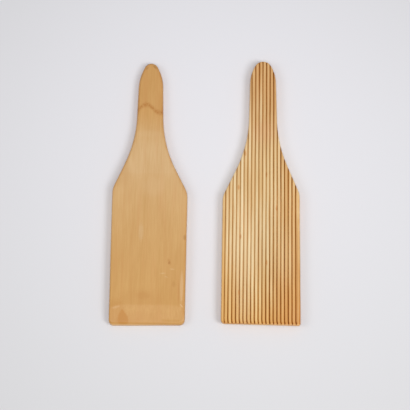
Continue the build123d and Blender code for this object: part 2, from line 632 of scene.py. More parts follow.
class WoodEffects:
    """The node groups that both woods are made with, each built once."""

    RING_WAVER = Texture(width=18.0, stretch=10.0)
    RING_REACH = 6.0  # millimetres that a growth ring strays
    LATE_FROM, LATE_TO = 0.35, 0.93  # shares of a growth ring over which it darkens
    LATE_END, LATE_FULL = 1.0, 0.95  # and between which it turns pale again
    STREAKS = Texture(width=1.0, stretch=24.0, detail=4.0, roughness=0.6)
    FIBRES = Texture(width=0.45, stretch=40.0, detail=3.0, roughness=0.7, low=0.25, high=0.75)
    CLOUDS = Texture(width=26.0, stretch=2.8)
    FLECKED = Texture(width=2.4, stretch=6.0, detail=1.0, low=0.5, high=0.62)  # where there are short flecks
    FLECK_PITCH = 0.85  # millimetres
    FLECK_EDGE, FLECK_CORE = 0.34, 0.12  # shares of its pitch from a fleck's middle
    WEAR = Texture(width=6.0, low=0.25, high=0.7, least=0.35)
    GRIME = Texture(width=3.2, stretch=18.0, low=0.34, high=0.66, least=0.55)
    FILM_FROM, FILM_TO = 0.01, 0.28  # shares of a groove's depth over which its flanks take the film
    GRIME_FROM, GRIME_TO = 0.08, 0.6  # and over which the grime thickens
    RAGGED = Texture(width=1.2, low=0.35, high=0.65, least=0.45)
    LINE_WAVER = Texture(width=3.0)
    LINE_STRAY = 2.0  # millimetres that a line of the figure strays
    NARROWEST = 0.08  # the least share of its width that a mark tapers to
    GRIMY_FROM, GRIMY_TO = -10.0, 33.0  # millimetres across the board over which its grooves grow grimy
    TIP_GRIME = 1.35  # how much of the tip's mask the grooves take as grime
    HANDLE_GRIME = 0.3
    BLADE_TO, BLADE_FROM = 122.0, 108.0  # millimetres from the tip over which the blade gives way to the neck
    LIT_END_REACH = 0.9  # millimetres from the tip over which its end face is painted paler, as painted light

    def __init__(self) -> None:
        """Builds the groups."""
        self.long_grain = self.build_long_grain()
        self.ripening_and_sheen = self.build_ripening_and_sheen()
        self.groove_grime = self.build_groove_grime()
        self.edge_wear = self.build_edge_wear()
        self.figure_line = self.build_figure_line()
        self.mark = self.build_mark()

    def build_long_grain(self) -> bpy.types.NodeTree:
        """Grain along the board: growth rings about a far pith, streaks, clouds, fibres and short flecks.

        Returns:
            The group.
        """
        inputs = {"Board": "vector", "Pith": "vector", "Ring Pitch": "number", "Streak Pitch": "number"}
        group = NodeGroup("long_grain", inputs, ("Rings", "Streaks", "Clouds", "Fibres", "Flecks"))
        graph, source = group.graph, group.source
        board = source["Board"]

        # The rings lie round a line along the board, and waver along it.
        waver = self.RING_WAVER.draw(graph, board)
        from_pith = graph.vector_maths("SUBTRACT", board, source["Pith"])
        from_pith = graph.vector_maths("MULTIPLY", from_pith, (1, 0, 1))
        radius = graph.maths("MULTIPLY_ADD", waver, self.RING_REACH * MM, graph.length(from_pith))
        ring = graph.maths("FRACT", graph.maths("DIVIDE", radius, source["Ring Pitch"]))
        late = graph.remap(ring, self.LATE_FROM, self.LATE_TO)
        group.give("Rings", graph.maths("MULTIPLY", late, graph.remap(ring, self.LATE_END, self.LATE_FULL)))

        streak_scale = graph.maths("DIVIDE", 1.0, source["Streak Pitch"])
        group.give("Streaks", self.STREAKS.mask(graph, board, scale=streak_scale))
        group.give("Clouds", self.CLOUDS.mask(graph, board))
        group.give("Fibres", self.FIBRES.mask(graph, board))

        spots = {"Vector": self.FLECKED.draw_out(graph, board), "Scale": 1 / (self.FLECK_PITCH * MM)}
        from_fleck = graph.add("ShaderNodeTexVoronoi", spots).outputs["Distance"]
        flecks = graph.remap(from_fleck, self.FLECK_EDGE, self.FLECK_CORE)
        group.give("Flecks", graph.maths("MULTIPLY", flecks, self.FLECKED.mask(graph, board)))
        return group.tree

    def build_ripening_and_sheen(self) -> bpy.types.NodeTree:
        """Darker towards the tip, over the handle and to one side: use and oil, and the fall-off of a painted
        sheen that leaves the neck palest. Also the tip's end face, which takes painted light.

        Returns:
            The group.
        """
        inputs = {"Board": "vector", "Tip Reach": "number", "Tip Power": "number"}
        inputs |= {"Neck": "number", "Grip": "number", "Side Start": "number", "Side End": "number"}
        group = NodeGroup("ripening_and_sheen", inputs, ("Tip", "Handle", "Side", "Blade", "Grimy", "End"))
        graph, source = group.graph, group.source
        x, y, _ = graph.split(source["Board"])
        from_reach = graph.maths("SUBTRACT", source["Tip Reach"], y)
        tip = graph.maths("DIVIDE", from_reach, source["Tip Reach"], clamp=True)
        tip = graph.maths("POWER", tip, source["Tip Power"])
        handle = graph.remap(y, source["Neck"], source["Grip"])
        side = graph.remap(x, source["Side Start"], source["Side End"])
        blade = graph.remap(y, self.BLADE_TO * MM, self.BLADE_FROM * MM)
        for label, mask in {"Tip": tip, "Handle": handle, "Side": side, "Blade": blade}.items():
            group.give(label, mask)
        grimy_side = graph.remap(x, self.GRIMY_FROM * MM, self.GRIMY_TO * MM)
        grimy = graph.maths("MULTIPLY_ADD", tip, self.TIP_GRIME, grimy_side)
        group.give("Grimy", graph.maths("MULTIPLY_ADD", handle, self.HANDLE_GRIME, grimy, clamp=True))
        # the tip's end face, which takes painted light
        group.give("End", graph.remap(y, self.LIT_END_REACH * MM, self.LIT_END_REACH * MM / 2))
        return group.tree

    def build_groove_grime(self) -> bpy.types.NodeTree:
        """What has settled in the grooves: a light film on their flanks, and uneven grime at the bottom.

        Returns:
            The group.
        """
        group = NodeGroup("groove_grime", {"Board": "vector", "Groove": "number"}, ("Film", "Grime"))
        graph, source = group.graph, group.source
        group.give("Film", graph.remap(source["Groove"], self.FILM_FROM, self.FILM_TO))
        grime = graph.remap(source["Groove"], self.GRIME_FROM, self.GRIME_TO)
        group.give("Grime", graph.maths("MULTIPLY", grime, self.GRIME.mask(graph, source["Board"])))
        return group.tree

    def build_edge_wear(self) -> bpy.types.NodeTree:
        """Where hands and cloths have rubbed the rims, in stretches.

        Returns:
            The group.
        """
        group = NodeGroup("edge_wear", {"Board": "vector", "Rim": "number"}, ("Worn",))
        graph, source = group.graph, group.source
        group.give("Worn", graph.maths("MULTIPLY", source["Rim"], self.WEAR.mask(graph, source["Board"])))
        return group.tree

    def build_figure_line(self) -> bpy.types.NodeTree:
        """One line of the wood's figure that swings across the board like a wave.

        Returns:
            The group.
        """
        inputs = {"Board": "vector", "Crest": "vector", "Swing": "number", "Half Wave": "number"}
        group = NodeGroup("figure_line", inputs | {"Width": "number"}, ("Line", "Beyond"))
        graph, source = group.graph, group.source
        x, y, _ = graph.split(graph.vector_maths("SUBTRACT", source["Board"], source["Crest"]))
        turn = graph.maths("MULTIPLY", graph.maths("DIVIDE", x, source["Half Wave"]), math.pi)
        wave = graph.maths("SUBTRACT", graph.maths("COSINE", turn), 1.0)
        wave = graph.maths("MULTIPLY", wave, source["Swing"])
        stray = graph.maths("SUBTRACT", self.LINE_WAVER.draw(graph, source["Board"]), 0.5)
        off_line = graph.maths("MULTIPLY_ADD", stray, self.LINE_STRAY * MM, graph.maths("SUBTRACT", y, wave))
        share = graph.maths("DIVIDE", off_line, source["Width"])
        line = graph.remap(graph.maths("ABSOLUTE", share), 1.0, 0.0)
        group.give("Line", graph.maths("MULTIPLY", line, self.RAGGED.mask(graph, source["Board"])))
        group.give("Beyond", graph.remap(share, 0.0, 1.0))
        return group.tree

    def build_mark(self) -> bpy.types.NodeTree:
        """A soft-edged mark, round, long or wedge-shaped, at a place on the board.

        Returns:
            The group.
        """
        inputs = {"Board": "vector", "Centre": "vector", "Size": "vector", "Turn": "number"}
        inputs |= {"Taper": "number", "Even": "number", "Ragged": "number"}
        group = NodeGroup("mark", inputs, ("Mask",))
        graph, source = group.graph, group.source
        away = graph.vector_maths("SUBTRACT", source["Board"], source["Centre"])
        turn = {"Vector": away, "Angle": source["Turn"]}
        turned = graph.add("ShaderNodeVectorRotate", turn, rotation_type="Z_AXIS").outputs[0]
        x, y, z = graph.split(graph.vector_maths("DIVIDE", turned, source["Size"]))
        narrowed = graph.maths("SUBTRACT", 1.0, graph.maths("MULTIPLY", y, source["Taper"]))
        wide = graph.maths("DIVIDE", x, graph.maths("MAXIMUM", narrowed, self.NARROWEST))
        flat = graph.add("ShaderNodeCombineXYZ", {0: wide, 1: y, 2: z}).outputs[0]
        stray = graph.maths("SUBTRACT", self.RAGGED.draw(graph, source["Board"]), 0.5)
        reach = graph.maths("MULTIPLY_ADD", stray, source["Ragged"], graph.length(flat))
        group.give("Mask", graph.remap(reach, 1.0, source["Even"]))
        return group.tree


@dataclass(frozen=True)
class Mark:
    """A stain, spot or scratch, in millimetres and degrees of the paddle's own frame."""

    centre: tuple[float, float]
    size: tuple[float, float]  # half its width and half its length
    colour: Colour
    strength: float
    turn: float = 0.0  # clockwise
    taper: float = 0.0  # how much narrower it is half its length further from the tip
    even: float = 0.35  # the share of it that is evenly coloured
    ragged: float = 0.7
    height: float = 0.0
    reach: float = 6.0  # how far above and below its height it is seen

    @classmethod
    def on_ridges(
        cls, centre: tuple[float, float], size: tuple[float, float], colour: Colour, strength: float
    ) -> "Mark":
        """A wide soft mark that is strongest on the ridges' crowns."""
        return cls(centre, size, colour, strength, even=0.2, height=CROWNS, reach=2.2)

    @classmethod
    def in_grooves(
        cls, centre: tuple[float, float], size: tuple[float, float], colour: Colour, strength: float
    ) -> "Mark":
        """A wide soft mark at the bottoms of the grooves."""
        return cls(centre, size, colour, strength, even=0.2, height=GROOVE_BOTTOMS, reach=1.4)


@dataclass(frozen=True)
class FigureLine:
    """A line of the figure across the handle, in millimetres of the paddle's own frame."""

    crest: tuple[float, float]
    swing: float
    half_wave: float
    width: float
    colour: Colour
    strength: float
    shade: float  # how much the wood beyond the line takes of its colour


@dataclass(frozen=True)
class RipeningAndSheen:
    """How use has deepened a board, and how a painted sheen falls off away from the neck, in millimetres of
    the paddle's own frame.
    """

    tip_ripening_and_sheen_tint: Colour
    handle_ripening_and_sheen_tint: Colour
    side_ripening_and_sheen_tint: Colour = WHITE
    tip_reach: float = 135.0
    tip_power: float = 0.5  # below 1 the change is quick where it starts, and above 1 it is quick at the tip
    neck: float = 155.0
    grip: float = 195.0
    side_start: float = -10.0
    side_end: float = 28.0

    def masks(self, graph: Graph, effects: WoodEffects, board: Socket) -> dict[str, Socket]:
        """Where the board has deepened with use, and where its painted sheen falls off.

        Args:
            graph: The material's nodes.
            effects: The node groups that the woods share.
            board: The place on the board.

        Returns:
            The masks Tip, Handle, Side, Blade, Grimy and End; End is the tip's end face, which takes painted
            light.
        """
        inputs = {"Board": board, "Tip Reach": self.tip_reach * MM, "Tip Power": self.tip_power}
        inputs |= {"Neck": self.neck * MM, "Grip": self.grip * MM}
        inputs |= {"Side Start": self.side_start * MM, "Side End": self.side_end * MM}
        return graph.place(effects.ripening_and_sheen, inputs)

    def tint(self, graph: Graph, ripe_and_sheen: dict[str, Socket], colour: Socket) -> Socket:
        """Deepens a colour where use has deepened the board and where its painted sheen falls off.

        Args:
            graph: The material's nodes.
            ripe_and_sheen: The masks of where use has deepened the board and where its painted sheen falls
                off.
            colour: The colour to deepen.

        Returns:
            The deeper colour.
        """
        # deepening by use, partly painted sheen: the neck is left palest
        colour = graph.blend(ripe_and_sheen["Side"], colour, self.side_ripening_and_sheen_tint, "MULTIPLY")
        colour = graph.blend(ripe_and_sheen["Tip"], colour, self.tip_ripening_and_sheen_tint, "MULTIPLY")
        return graph.blend(ripe_and_sheen["Handle"], colour, self.handle_ripening_and_sheen_tint, "MULTIPLY")


@dataclass(frozen=True)
class WoodFinish:
    """Pale fine-grained wood, sanded, oiled and then rubbed by use."""

    name: str
    pale: Colour
    deep: Colour
    warm: Colour
    film: Colour  # the tint of the grooves' flanks
    grime: Colour
    oiled: Colour  # the tint of the rims
    ripening_and_sheen: RipeningAndSheen
    pith: tuple[float, float, float]
    ring_pitch: float = 5.2
    ring_share: float = 0.14
    streak_pitch: float = 1.1
    streak_share: float = 0.30
    cloud_share: float = 0.30
    fibre_share: float = 0.22
    fleck_share: float = 0.25
    warm_share: float = 0.35
    film_share: float = 0.75
    grime_share: float = 0.45
    ripe_grime_share: float = 0.85
    rim_grime_share: float = 0.5  # more, where the grooves run out through the rim
    gloss: float = 0.5
    edge_share: float = 0.2
    handle_edge_share: float = 0.8  # from the shoulders on
    # painted light: the tip's end face is painted paler, for light that the lamps leave out
    lit_end_face: Colour = paint(252, 208, 142)
    lit_end_face_share: float = 0.6
    roughness: float = 0.42
    bump: float = 0.35
    bump_depth: float = 0.06
    marks: tuple[Mark, ...] = ()
    lines: tuple[FigureLine, ...] = ()

    WARMTH = Texture(width=4.2, stretch=16.0, detail=2.0, low=0.45)
    FIBRE_ROUGHNESS = 0.10
    WORN_ROUGHNESS = -0.08
    GROOVE_ROUGHNESS = 0.20
    FLECK_RISE = -0.6  # shares of the bump's depth
    STREAK_RISE = 0.5

    def build(self, effects: WoodEffects) -> bpy.types.Material:
        """Makes the material.

        Args:
            effects: The node groups that the woods share.

        Returns:
            The material.
        """
        material = bpy.data.materials.new(self.name)
        material.use_nodes = True
        material.node_tree.nodes.clear()
        graph = Graph(material.node_tree)
        board = graph.add("ShaderNodeAttribute", attribute_name="board").outputs["Vector"]
        groove = graph.add("ShaderNodeAttribute", attribute_name="groove").outputs["Fac"]
        rim = graph.add("ShaderNodeAttribute", attribute_name="rim").outputs["Fac"]
        pith = tuple(length * MM for length in self.pith)
        inputs = {"Board": board, "Pith": pith, "Ring Pitch": self.ring_pitch * MM}
        grain = graph.place(effects.long_grain, inputs | {"Streak Pitch": self.streak_pitch * MM})
        worn = graph.place(effects.edge_wear, {"Board": board, "Rim": rim})["Worn"]
        ripe_and_sheen = self.ripening_and_sheen.masks(graph, effects, board)

        colour = self.bare_wood(graph, board, grain)
        colour = self.with_lines(graph, effects, board, colour)
        settled = graph.place(effects.groove_grime, {"Board": board, "Groove": groove})
        colour = self.with_grime(graph, settled, ripe_and_sheen["Grimy"], rim, colour)
        edge_share = graph.remap(ripe_and_sheen["Blade"], 0.0, 1.0, self.handle_edge_share, self.edge_share)
        colour = graph.blend(graph.maths("MULTIPLY", worn, edge_share), colour, self.oiled, "MULTIPLY")
        colour = self.ripening_and_sheen.tint(graph, ripe_and_sheen, colour)
        colour = self.with_marks(graph, effects, board, colour)
        # painted light on the tip's end face
        colour = graph.blend(graph.maths("MULTIPLY", ripe_and_sheen["End"], self.lit_end_face_share), colour, self.lit_end_face)

        rough = graph.maths("MULTIPLY_ADD", grain["Fibres"], self.FIBRE_ROUGHNESS, self.roughness)
        rough = graph.maths("MULTIPLY_ADD", worn, self.WORN_ROUGHNESS, rough)
        rough = graph.maths("MULTIPLY_ADD", groove, self.GROOVE_ROUGHNESS, rough)
        height = graph.maths("MULTIPLY_ADD", grain["Flecks"], self.FLECK_RISE, grain["Fibres"])
        height = graph.maths("MULTIPLY_ADD", grain["Streaks"], self.STREAK_RISE, height)
        inputs = {"Strength": self.bump, "Distance": self.bump_depth * MM, "Height": height}
        bump = graph.add("ShaderNodeBump", inputs)
        inputs = {"Base Color": colour, "Roughness": rough, "Normal": bump.outputs[0]}
        shader = graph.add("ShaderNodeBsdfPrincipled", inputs | {"Specular IOR Level": self.gloss})
        graph.add("ShaderNodeOutputMaterial", {"Surface": shader.outputs[0]})
        return material

    def bare_wood(self, graph: Graph, board: Socket, grain: dict[str, Socket]) -> Socket:
        """The wood's colour before it was used.

        Args:
            graph: The material's nodes.
            board: The place on the board.
            grain: The masks of its grain.

        Returns:
            The colour.
        """
        depth = graph.maths("MULTIPLY", grain["Rings"], self.ring_share)
        depth = graph.maths("MULTIPLY_ADD", grain["Streaks"], self.streak_share, depth)
        depth = graph.maths("MULTIPLY_ADD", grain["Clouds"], self.cloud_share, depth)
        depth = graph.maths("MULTIPLY_ADD", grain["Fibres"], self.fibre_share, depth)
        colour = graph.blend(depth, self.pale, self.deep)
        colour = graph.blend(self.WARMTH.mask(graph, board, self.warm_share), colour, self.warm)
        return graph.blend(graph.maths("MULTIPLY", grain["Flecks"], self.fleck_share), colour, self.deep)

    def with_grime(
        self, graph: Graph, settled: dict[str, Socket], grimy: Socket, rim: Socket, colour: Socket
    ) -> Socket:
        """Adds what has settled in the grooves.

        Args:
            graph: The material's nodes.
            settled: The masks of the film and the grime.
            grimy: Where the grooves are grimy.
            rim: How near the board's edge the place is.
            colour: The wood's colour.

        Returns:
            The colour with the film and the grime on it.
        """
        grimy = graph.remap(grimy, 0.0, 1.0)
        film = graph.maths("MULTIPLY", settled["Film"], graph.remap(grimy, 0.0, 1.0, self.film_share, 1.0))
        grime_share = graph.remap(grimy, 0.0, 1.0, self.grime_share, self.ripe_grime_share)
        grime_share = graph.maths("MULTIPLY_ADD", rim, self.rim_grime_share, grime_share)
        grime = graph.maths("MULTIPLY", settled["Grime"], grime_share, clamp=True)
        return graph.blend(grime, graph.blend(film, colour, self.film, "MULTIPLY"), self.grime)

    def with_lines(self, graph: Graph, effects: WoodEffects, board: Socket, colour: Socket) -> Socket:
        """Draws each line of the figure.

        Args:
            graph: The material's nodes.
            effects: The node groups that the woods share.
            board: The place on the board.
            colour: The wood's colour.

        Returns:
            The colour with the lines on it.
        """
        for line in self.lines:
            crest = (line.crest[0] * MM, line.crest[1] * MM, 0.0)
            inputs = {"Board": board, "Crest": crest, "Swing": line.swing * MM}
            inputs |= {"Half Wave": line.half_wave * MM, "Width": line.width * MM}
            drawn = graph.place(effects.figure_line, inputs)
            shade = graph.maths("MULTIPLY", drawn["Beyond"], line.shade)
            share = graph.maths("MULTIPLY_ADD", drawn["Line"], line.strength, shade)
            colour = graph.blend(share, colour, line.colour)
        return colour

    def with_marks(self, graph: Graph, effects: WoodEffects, board: Socket, colour: Socket) -> Socket:
        """Adds each stain, spot and scratch.

        Args:
            graph: The material's nodes.
            effects: The node groups that the woods share.
            board: The place on the board.
            colour: The wood's colour.

        Returns:
            The colour with the marks on it.
        """
        for mark in self.marks:
            centre = (mark.centre[0] * MM, mark.centre[1] * MM, mark.height * MM)
            size = (mark.size[0] * MM, mark.size[1] * MM, mark.reach * MM)
            inputs = {"Board": board, "Centre": centre, "Size": size}
            inputs |= {"Turn": math.radians(mark.turn), "Taper": mark.taper}
            inputs |= {"Even": mark.even, "Ragged": mark.ragged}
            mask = graph.place(effects.mark, inputs)["Mask"]
            colour = graph.blend(graph.maths("MULTIPLY", mask, mark.strength), colour, mark.colour)
        return colour


@dataclass
class Paddle:
    """One butter paddle, cut from a single board."""

    name: str
    node: str
    slot: str
    lying: Lying
    outline: Outline
    finish: WoodFinish
    seed: float
    facet: Facet | None = None
    edge_groove: EdgeGroove | None = None
    board: Board = Board()
    reeding: Reeding = Reeding()

    SNAP = 0.01  # millimetres within which a cut takes a point that is already there
    SHARP = math.radians(38)  # a fold sharper than this stays crisp

    def build(self, effects: WoodEffects) -> bpy.types.Object:
        """Shapes the paddle, dresses it and lays it in place of its node.

        Args:
            effects: The node groups that the woods share.

        Returns:
            The paddle.
        """
        mesh = self.blank()
        self.cut(mesh)
        self.shape(mesh)
        mesh.transform(self.place_on_table())
        data = bpy.data.meshes.new(self.name)
        mesh.to_mesh(data)
        mesh.free()
        data.shade_smooth()
        data.set_sharp_from_angle(angle=self.SHARP)
        data.materials.append(self.finish.build(effects))
        piece = bpy.data.objects.new(self.name, data)
        bpy.context.scene.collection.objects.link(piece)
        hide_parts(self.node)
        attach(piece, BODY)
        return piece

    def levels(self) -> list[Level]:
        """Divides the board's side into rows of points.

        Returns:
            The rows, from the back to the reeded face.
        """
        steps = self.board.rim_steps
        turns = [math.pi / 2 * step / steps for step in range(steps + 1)]
        rows = [Level(Edge.BACK, 1 - math.sin(turn), 1 - math.cos(turn)) for turn in turns]
        walls = self.board.wall_rows
        rows += [Level(Edge.WALL, 0.0, row / walls) for row in range(1, walls + 1)]
        return rows + [Level(Edge.REEDED, 1 - math.cos(turn), math.sin(turn)) for turn in turns]

    def level_place(self, level: Level, y: float) -> tuple[float, float]:
        """Where a row of points runs at one place along the outline.

        Args:
            level: The row.
            y: The place's distance from the tip.

        Returns:
            How far inside the outline the row is, and its height.
        """
        board = self.board
        back_rim = board.back_rim(y, self.outline)
        if level.edge is Edge.BACK:
            return level.inset * back_rim, level.rise * back_rim
        if level.edge is Edge.WALL:
            wall = board.thickness - board.reeded_band - back_rim
            return -board.wall_bulge * math.sin(math.pi * level.rise), back_rim + wall * level.rise
        return level.inset * board.reeded_rim, board.thickness - board.reeded_rim * (1 - level.rise)

    def blank(self) -> bmesh.types.BMesh:
        """Cuts the board to its outline and rounds both of its rims.

        Returns:
            The blank.
        """
        points = self.outline.points()
        count = len(points)
        normals = []
        for index in range(count):
            along = (points[(index + 1) % count] - points[index - 1]).normalized()
            normals.append(Vector((along.y, -along.x)))
        mesh = bmesh.new()
        rings = []
        for level in self.levels():
            ring = []
            for point, normal in zip(points, normals):
                inward, z = self.level_place(level, point.y)
                flat = point - normal * inward
                ring.append(mesh.verts.new((flat.x, flat.y, z)))
            rings.append(ring)
        for lower, upper in zip(rings, rings[1:]):
            for index in range(count):
                after = (index + 1) % count
                mesh.faces.new((lower[index], lower[after], upper[after], upper[index]))
        mesh.faces.new(list(reversed(rings[0])))
        mesh.faces.new(rings[-1])
        return mesh

    def cut(self, mesh: bmesh.types.BMesh) -> None:
        """Divides the blank along every fold that it is to have, and evenly in between.

        Args:
            mesh: The blank.
        """
        board, outline = self.board, self.outline
        half = outline.tip_width / 2
        rows = list(np.arange(board.row_pitch / 2, outline.length, board.row_pitch))
        first = board.bevel_length - board.bevel_droop - board.bevel_row_margin
        last = board.bevel_length + board.bevel_row_margin
        rows += list(np.arange(first, last, board.bevel_row_pitch))
        self.slice_across(mesh, list(mesh.faces), Axis.Y, sorted(rows))
        if self.facet:
            corner, across = self.facet.crease(-half)
            low = [face for face in mesh.faces if max(v.co.z for v in face.verts) < board.tip_rim + self.SNAP]
            self.bisect(mesh, low, corner, across)
        band = board.thickness - board.reeded_band - self.SNAP
        reeded = [face for face in mesh.faces if min(v.co.z for v in face.verts) > band]
        folds = self.reeding.folds() + (self.edge_groove.folds() if self.edge_groove else [])
        self.slice_across(mesh, reeded, Axis.X, sorted(folds))
        back = [face for face in mesh.faces if max(v.co.z for v in face.verts) < self.SNAP]
        self.slice_across(mesh, back, Axis.X, list(np.arange(-half, half, board.back_pitch)))

    def bisect(
        self, mesh: bmesh.types.BMesh, faces: list[bmesh.types.BMFace], point: Vector, normal: Vector
    ) -> list[bmesh.types.BMFace]:
        """Divides some faces along a plane.

        Args:
            mesh: The mesh.
            faces: The faces to divide.
            point: A point of the plane.
            normal: The direction square to it.

        Returns:
            All the faces that they have become.
        """
        verts = {vert for face in faces for vert in face.verts}
        edges = {edge for face in faces for edge in face.edges}
        whole = [*verts, *edges, *faces]
        done = bmesh.ops.bisect_plane(mesh, geom=whole, plane_co=point, plane_no=normal, dist=self.SNAP)
        return [item for item in done["geom"] if isinstance(item, bmesh.types.BMFace)]

    def slice_across(
        self, mesh: bmesh.types.BMesh, faces: list[bmesh.types.BMFace], axis: Axis, places: list[float]
    ) -> None:
        """Divides some faces at a row of places, the middle one first, so that each cut meets few faces.

        Args:
            mesh: The mesh.
            faces: The faces to divide.
            axis: The axis that the cuts are square to.
            places: Where they are along it, in order.
        """
        if not faces or not places:
            return
        middle = len(places) // 2
        place = places[middle]
        normal = Vector((0.0, 0.0, 0.0))
        normal[axis.value] = 1.0
        parts = self.bisect(mesh, faces, normal * place, normal)
        below = [face for face in parts if face.calc_center_median()[axis.value] < place]
        above = [face for face in parts if face.calc_center_median()[axis.value] >= place]
        self.slice_across(mesh, below, axis, places[:middle])
        self.slice_across(mesh, above, axis, places[middle + 1 :])

    def shape(self, mesh: bmesh.types.BMesh) -> None:
        """Cuts the grooves, bevels and thins the back, and leaves the marks of hand work.

        Args:
            mesh: The blank, divided along its folds.
        """
        board, reeding = self.board, self.reeding
        band = board.thickness - board.reeded_band
        groove_layer = mesh.verts.layers.float.new("groove")
        rim_layer = mesh.verts.layers.float.new("rim")
        board_layer = mesh.verts.layers.float_vector.new("board")
        mesh.verts.ensure_lookup_table()
        inside = self.distances_inside(np.array([vert.co[:2] for vert in mesh.verts]))
        for vert, from_edge in zip(mesh.verts, inside):
            x, y, z = vert.co
            vert[rim_layer] = max(0.0, 1 - from_edge / board.rubbed_rim)
            if z > band + self.SNAP:
                vert[groove_layer], vert.co.z = self.reeded(x, y, z)
                wander = self.noise(x / reeding.pitch, y / reeding.wander_length, Layer.GROOVE_WANDER)
                vert.co.x += reeding.wander * wander
                vert.co.x += reeding.stray(y) * min(1.0, from_edge / reeding.pitch)
            else:
                rim = board.back_rim(y, self.outline)
                share = min(1.0, max(0.0, (band - z) / (band - rim)))
                vert.co.z += share * self.back_height(x, y)
            length, reach = board.edge_wave_length, board.edge_wave_reach
            vert.co.x += board.edge_waves * self.noise(x / reach, y / length, Layer.OUTLINE_ACROSS)
            vert.co.y += board.edge_waves * self.noise(x / length, y / reach, Layer.OUTLINE_ALONG)
            vert[board_layer] = vert.co * MM

    def distances_inside(self, places: np.ndarray) -> np.ndarray:
        """How far inside the outline each place is.

        Args:
            places: One row of x and y for each place.

        Returns:
            One distance for each, none on the outline.
        """
        starts = np.array([point[:] for point in self.outline.points()])
        runs = np.roll(starts, -1, axis=0) - starts
        lengths = np.maximum((runs**2).sum(axis=1), self.SNAP**2)
        nearest = np.full(len(places), np.inf)
        for start, run, length in zip(starts, runs, lengths):
            along = np.clip((places - start) @ run / length, 0, 1)
            nearest = np.minimum(nearest, np.linalg.norm(places - start - along[:, None] * run, axis=1))
        return nearest

    def noise(self, x: float, y: float, layer: Layer) -> float:
        """Smooth noise from about -1 to 1 that belongs to this paddle."""
        return noise.noise(Vector((x, y, self.seed + layer.value)))

    def reeded(self, x: float, y: float, z: float) -> tuple[float, float]:
        """The reeded face or its rim at a point.

        Args:
            x: The point's distance from the blade's centre line.
            y: Its distance from the tip.
            z: Its height on the blank.

        Returns:
            The share of a groove's depth there, and the height.
        """
        reeding = self.reeding
        uneven = self.noise(x / reeding.pitch, y / reeding.depth_length, Layer.GROOVE_DEPTH)
        drop = reeding.drop(x) * (1 + reeding.depth_change * uneven)
        if self.edge_groove:
            drop = max(drop, self.edge_groove.drop(x, y))
        return drop / reeding.depth, min(z, self.board.thickness - drop)

    def back_height(self, x: float, y: float) -> float:
        """How much is cut away from the back at a point, with its marks of hand work.

        Args:
            x: The point's distance from the blade's centre line.
            y: Its distance from the tip.

        Returns:
            The depth of the cut.
        """
        board = self.board
        lift = board.back_lift(x, y, self.outline)
        if self.facet:
            lift = max(lift, self.facet.lift(x, y, -self.outline.tip_width / 2))
        waves = self.noise(x / board.back_wave_width, y / board.back_wave_length, Layer.BACK)
        return lift + board.back_waves * (1 + waves) / 2

    def place_on_table(self) -> Matrix:
        """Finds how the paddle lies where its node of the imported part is.

        Returns:
            The move from the paddle's own frame, in millimetres, to the row frame, in metres.
        """
        low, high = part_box(self.node)
        turn = Matrix.Identity(4)
        if self.lying is Lying.RIDGES_DOWN:
            turn = Matrix.Translation((0, 0, self.board.thickness)) @ Matrix.Rotation(math.pi, 4, "Y")
        corners = [turn @ point.to_3d() for point in self.outline.points()]
        middle_x = (min(corner.x for corner in corners) + max(corner.x for corner in corners)) / 2
        tip_y = min(corner.y for corner in corners)
        shift = Vector(((low.x + high.x) / 2, low.y, low.z)) - Vector((middle_x, tip_y, 0)) * MM
        return Matrix.Translation(shift) @ Matrix.Scale(MM, 4) @ turn


@dataclass(frozen=True)
class Table:
    """The pale sheet that the paddles lie on, in metres."""

    half_size: float = 3.0
    below: float = 0.05 * MM
    # painted light: the sheet is palest round the paddles and darker further out, a little blue in the middle
    # against the paddles' warm bounce
    light_pool: Colour = paint(236, 235, 240)
    around: Colour = paint(210, 210, 211)
    light_pool_centre: tuple[float, float, float] = (0.01, 0.09, 0.0)
    light_pool_reach: float = 0.5  # how far from its centre the painted light fades into the darker sheet
    roughness: float = 0.9
    gloss: float = 0.1

    def build(self) -> bpy.types.Object:
        """Makes the sheet.

        Returns:
            The sheet.
        """
        half, z = self.half_size, -self.below
        data = bpy.data.meshes.new("table")
        corners = [(-half, -half, z), (half, -half, z), (half, half, z), (-half, half, z)]
        data.from_pydata(corners, [], [(0, 1, 2, 3)])
        data.materials.append(self.finish())
        table = bpy.data.objects.new("table", data)
        bpy.context.scene.collection.objects.link(table)
        return table

    def finish(self) -> bpy.types.Material:
        """Makes matt paper with painted light on it: palest round the paddles, darker further out.

        Returns:
            The material.
        """
        material = bpy.data.materials.new("table_paper")
        material.use_nodes = True
        material.node_tree.nodes.clear()
        graph = Graph(material.node_tree)
        place = graph.add("ShaderNodeTexCoord").outputs["Object"]
        from_light_pool = graph.length(graph.vector_maths("SUBTRACT", place, self.light_pool_centre))
        # painted light, fading out into the darker sheet
        colour = graph.blend(graph.remap(from_light_pool, 0.0, self.light_pool_reach), self.light_pool, self.around)
        inputs = {"Base Color": colour, "Roughness": self.roughness, "Specular IOR Level": self.gloss}
        shader = graph.add("ShaderNodeBsdfPrincipled", inputs)
        graph.add("ShaderNodeOutputMaterial", {"Surface": shader.outputs[0]})
        return material


@dataclass(frozen=True)
class Softbox:
    """A square or oblong lamp that faces the middle of the table."""

    name: str
    azimuth: float  # degrees anticlockwise from +X
    elevation: float  # degrees
    distance: float  # metres
    width: float
    depth: float
    share: float  # of full white, on a white table under it

    def build(self) -> bpy.types.Object:
        """Makes the lamp, with the power that gives the table its share.

        Returns:
            The lamp.
        """
        around, up = math.radians(self.azimuth), math.radians(self.elevation)
        outward = Vector((math.cos(around) * math.cos(up), math.sin(around) * math.cos(up), math.sin(up)))
        lamp = bpy.data.lights.new(self.name, "AREA")
        lamp.shape = "RECTANGLE"
        lamp.size, lamp.size_y = self.width, self.depth
        lamp.energy = self.share * math.pi**2 * self.distance**2 / math.sin(up)
        softbox = bpy.data.objects.new(self.name, lamp)
        softbox.location = outward * self.distance
        softbox.rotation_euler = outward.to_track_quat("Z", "Y").to_euler()
        bpy.context.scene.collection.objects.link(softbox)
        return softbox


